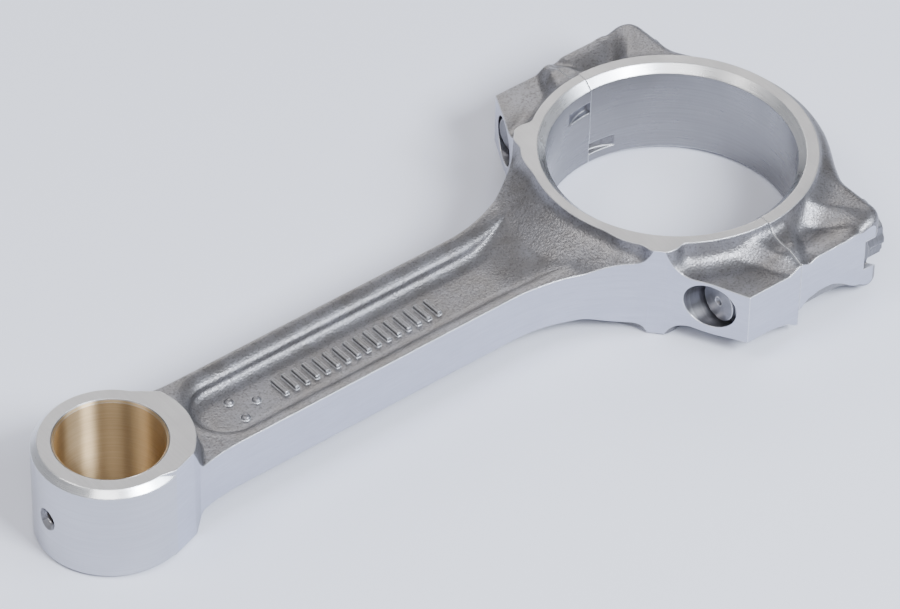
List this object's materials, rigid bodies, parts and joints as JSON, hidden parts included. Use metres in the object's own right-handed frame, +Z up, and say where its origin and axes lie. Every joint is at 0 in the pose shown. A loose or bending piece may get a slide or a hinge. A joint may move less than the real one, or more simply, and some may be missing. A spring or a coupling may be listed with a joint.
{
  "type": "connecting rod",
  "caption": "Forged I-beam engine connecting rod with a bushed pin end, a split big end and a cap held by 12-point cap screws.",
  "frame": {"origin": "middle of the bounding box, on the underside that the rod lies on", "axes": "+X from the pin end to the cap, +Y across the big end, +Z up along both bores"},
  "size_m": [0.2086, 0.088, 0.0239],
  "materials": {
    "forged_steel": "shot-peened forged areas, ground faces and honed bore",
    "bronze": "honed bore",
    "screw_steel": "dark satin",
    "sleeve_steel": "ground"
  },
  "bodies": {
    "rod": {"rod_body": "forged_steel", "pin_bushing": "bronze", "alignment_sleeve_left": "sleeve_steel", "alignment_sleeve_right": "sleeve_steel"},
    "cap": {"rod_cap": "forged_steel"},
    "screw_left": {"cap_screw_left": "screw_steel"},
    "screw_right": {"cap_screw_right": "screw_steel"}
  },
  "joints": [
    {"name": "cap_lift", "type": "slide", "parent": "rod", "child": "cap", "axis": [1, 0, 0], "range_m": [0, 0.0254]},
    {"name": "screw_left_turn", "type": "hinge", "parent": "cap", "child": "screw_left", "pos_m": [0.08729, 0.0357, 0.01194], "axis": [1, 0, 0], "range_deg": [0, 7205]},
    {"name": "screw_right_turn", "type": "hinge", "parent": "cap", "child": "screw_right", "pos_m": [0.08729, -0.0357, 0.01194], "axis": [1, 0, 0], "range_deg": [0, 7205]}
  ],
  "couplings": [
    {"joint": "screw_left_turn", "follows": "cap_lift", "rad_per_m": 4947.4},
    {"joint": "screw_right_turn", "follows": "cap_lift", "rad_per_m": 4947.4}
  ]
}
